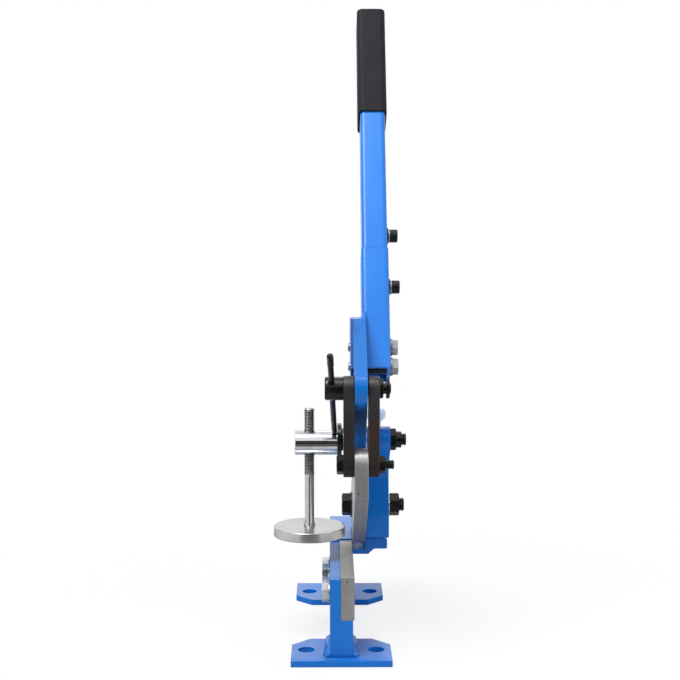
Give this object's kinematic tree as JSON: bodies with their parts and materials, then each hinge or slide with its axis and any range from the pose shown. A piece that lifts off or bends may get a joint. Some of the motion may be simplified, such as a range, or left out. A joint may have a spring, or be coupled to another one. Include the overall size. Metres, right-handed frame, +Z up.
{
  "type": "bench lever shear",
  "caption": "Bench lever shear: a leaning hand lever drives the upper blade through a pair of links, with a screw hold-down beside the mouth.",
  "frame": {"origin": "centre of the four foot holes, on the underside of the feet", "axes": "+X to the right of someone facing the mouth, +Y away from them, +Z up"},
  "size_m": [0.1557, 0.365, 0.752],
  "materials": {
    "blue_paint": "semi-gloss enamel",
    "blade_steel": "ground",
    "bright_steel": "turned and polished",
    "chrome": "bright plate",
    "zinc": "zinc plated",
    "black_oxide": "black oxide",
    "link_steel": "heat darkened",
    "grip_rubber": "matt"
  },
  "bodies": {
    "frame": {"frame": "blue_paint", "front_foot": "blue_paint", "rear_foot": "blue_paint", "stop_post": "blue_paint", "lower_blade": "blade_steel", "lower_blade_bolts": "zinc", "lower_blade_washers": "zinc", "blade_pivot_bolt": "black_oxide", "blade_head_washer": "black_oxide", "blade_shim": "zinc", "blade_nut_washer": "zinc", "blade_pivot_nut": "black_oxide", "lever_pivot_stud": "black_oxide", "lever_pivot_flange": "black_oxide", "lever_pivot_sleeve": "black_oxide", "lever_shim": "zinc", "lever_pivot_nut": "black_oxide", "hold_down_arm": "chrome"},
    "lever": {"lever_plate": "blue_paint", "lower_tube": "blue_paint", "handle_tube": "blue_paint", "tube_joiner": "bright_steel", "cap_screws": "black_oxide", "cap_screw_washers": "black_oxide", "cap_screw_lock_washers": "zinc", "lever_bolts": "zinc", "lever_bolt_washers": "zinc", "lever_bolt_sleeves": "bright_steel", "grip": "grip_rubber", "upper_link_pin": "black_oxide", "upper_link_nuts": "black_oxide"},
    "links": {"link_left": "link_steel", "link_right": "link_steel", "lower_link_bolt": "black_oxide", "lower_link_nut": "black_oxide"},
    "upper_blade": {"upper_blade": "blade_steel"},
    "lock_rod": {"lock_rod": "black_oxide"},
    "hold_down_disc": {"hold_down_disc": "bright_steel"},
    "hold_down_screw": {"hold_down_screw": "black_oxide"}
  },
  "joints": [
    {"name": "lever_swing", "type": "hinge", "parent": "frame", "child": "lever", "pos_m": [0.02, -0.035, 0.2285], "axis": [1, 0, 0], "range_deg": [0, 48.1]},
    {"name": "blade_swing", "type": "hinge", "parent": "frame", "child": "upper_blade", "pos_m": [0.02, 0.044, 0.135], "axis": [1, 0, 0], "range_deg": [0, 28]},
    {"name": "link_swing", "type": "hinge", "parent": "lever", "child": "links", "pos_m": [0.02, -0.12, 0.2985], "axis": [1, 0, 0], "range_deg": [-44.4, 0]},
    {"name": "lock_rod_lift", "type": "slide", "parent": "lever", "child": "lock_rod", "axis": [-0.0323, -0.7715, 0.6354], "range_m": [0, 0.03]},
    {"name": "hold_down_travel", "type": "slide", "parent": "frame", "child": "hold_down_disc", "axis": [0, 0, 1], "range_m": [-0.02, 0.022]},
    {"name": "hold_down_spin", "type": "hinge", "parent": "hold_down_disc", "child": "hold_down_screw", "pos_m": [-0.03622, -0.035, 0.1277], "axis": [0, 0, 1], "range_deg": [-4120, 4530]}
  ],
  "couplings": [
    {"joint": "blade_swing", "follows": "lever_swing", "ratio": 0.58199},
    {"joint": "link_swing", "follows": "lever_swing", "ratio": -0.92145},
    {"joint": "hold_down_spin", "follows": "hold_down_travel", "rad_per_m": 3590.4}
  ]
}
